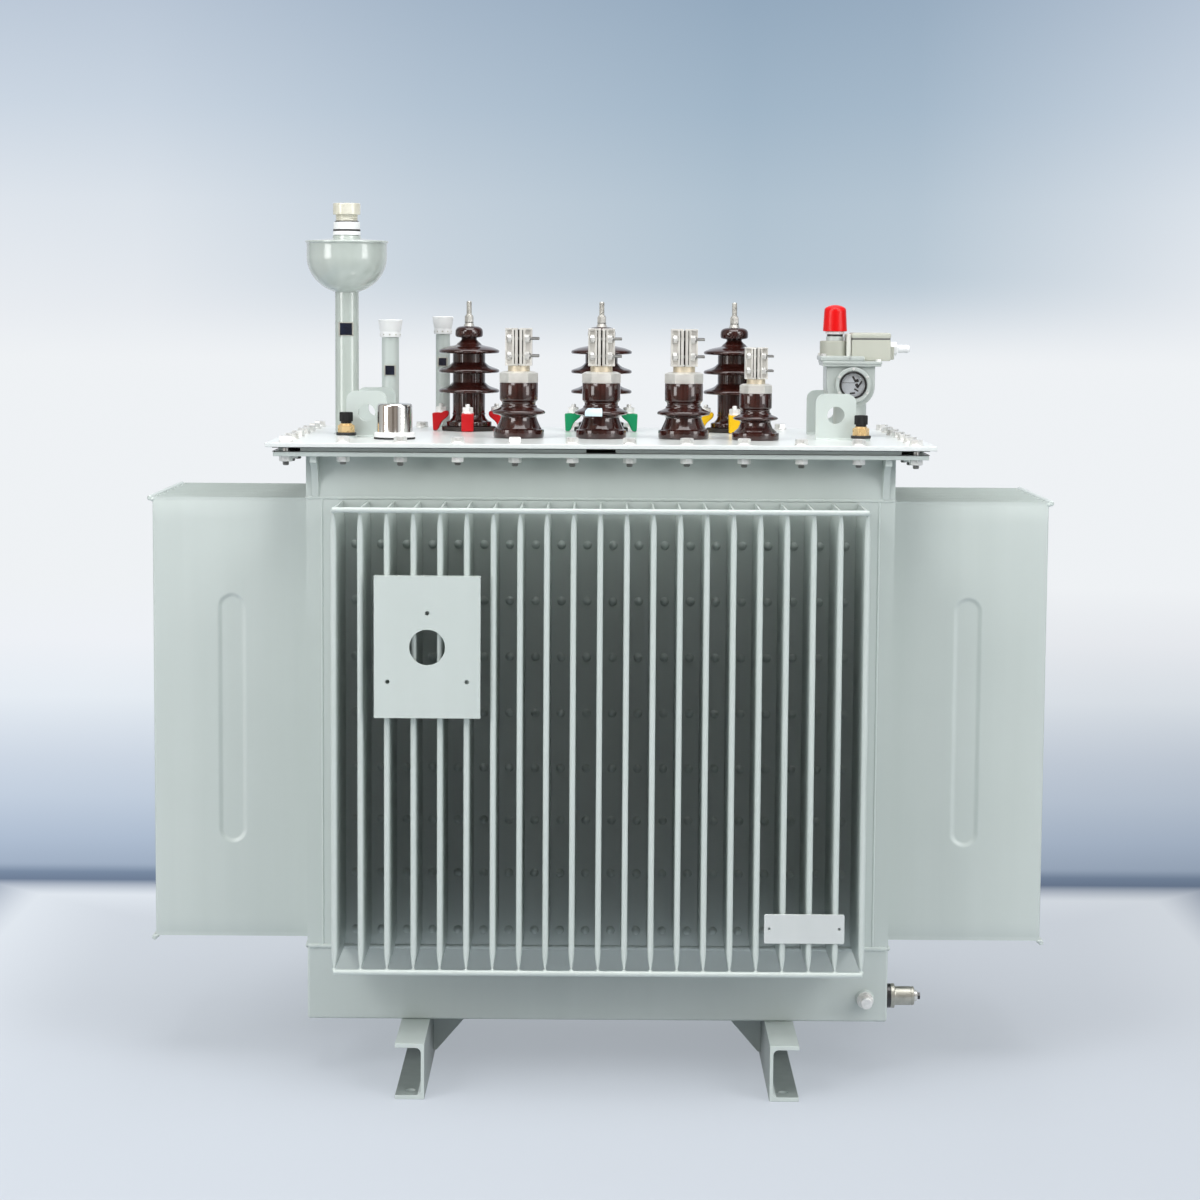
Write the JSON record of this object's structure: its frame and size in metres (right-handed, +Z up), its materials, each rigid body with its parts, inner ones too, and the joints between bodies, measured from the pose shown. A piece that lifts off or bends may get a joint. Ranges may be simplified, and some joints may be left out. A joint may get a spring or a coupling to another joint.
{
  "type": "power transformer",
  "caption": "Oil-filled distribution transformer: corrugated fin tank on channel skids, bolted cover with porcelain bushings, expansion bowl, gauges, lifting lugs and protection relay.",
  "frame": {"origin": "on the ground, under the centre of the footprint", "axes": "+Z up, +X along the long side of the tank towards the relay, -Y towards the front with the thermometer plate and the low-voltage row"},
  "size_m": [1.6416, 0.9862, 1.576],
  "materials": {
    "tank_paint": "pale grey-green gloss paint",
    "seal_rubber": "black nitrile rubber",
    "brown_glaze": "glossy dark brown glaze",
    "zinc_plate": "zinc-plated steel",
    "tinned_brass": "tinned, silvery with a warm cast",
    "polished_steel": "bright polished",
    "white_plastic": "white moulded",
    "clear_plastic": "clear moulded cup with yellowed grains",
    "yellow_brass": "machined",
    "beige_plastic": "grey-beige moulded",
    "red_plastic": "red moulded",
    "dark_steel": "dull grey metal"
  },
  "bodies": {
    "root": {"bottom_frame": "tank_paint", "front_fin_wall": "tank_paint", "back_fin_wall": "tank_paint", "left_fin_wall": "tank_paint", "right_fin_wall": "tank_paint", "front_lower_rod": "tank_paint", "front_upper_rod": "tank_paint", "back_lower_rod": "tank_paint", "back_upper_rod": "tank_paint", "left_lower_rod": "tank_paint", "left_upper_rod": "tank_paint", "right_lower_rod": "tank_paint", "right_upper_rod": "tank_paint", "upper_frame": "tank_paint", "cover_gasket": "seal_rubber", "cover_plate": "tank_paint", "left_leg": "tank_paint", "right_leg": "tank_paint", "hv_clamp_ring_a": "zinc_plate", "hv_clamp_ring_b": "zinc_plate", "hv_clamp_ring_c": "zinc_plate", "hv_bushing_a": "brown_glaze", "hv_bushing_b": "brown_glaze", "hv_bushing_c": "brown_glaze", "hv_stud_a": "zinc_plate", "hv_stud_b": "zinc_plate", "hv_stud_c": "zinc_plate", "lv_bushing_a": "brown_glaze", "lv_bushing_b": "brown_glaze", "lv_bushing_c": "brown_glaze", "lv_bushing_neutral": "brown_glaze", "lv_terminal_a": "tinned_brass", "lv_terminal_b": "tinned_brass", "lv_terminal_c": "tinned_brass", "lv_terminal_neutral": "tinned_brass", "lifting_lug_front_left": "tank_paint", "lifting_lug_front_right": "tank_paint", "lifting_lug_back_left": "tank_paint", "lifting_lug_back_right": "tank_paint", "expansion_bowl": "tank_paint", "breather_cap": "clear_plastic", "oil_gauge_tube_a": "tank_paint", "oil_gauge_tube_b": "tank_paint", "oil_gauge_cap_a": "white_plastic", "oil_gauge_cap_b": "white_plastic", "tap_changer_cap": "polished_steel", "vent_plug_left": "yellow_brass", "vent_plug_right": "yellow_brass", "relay_body": "tank_paint", "relay_terminal_box": "beige_plastic", "relay_red_cap": "red_plastic", "thermometer_plate": "tank_paint", "nameplate": "zinc_plate", "drain_valve": "dark_steel", "earth_bolt": "zinc_plate"}
  },
  "joints": []
}
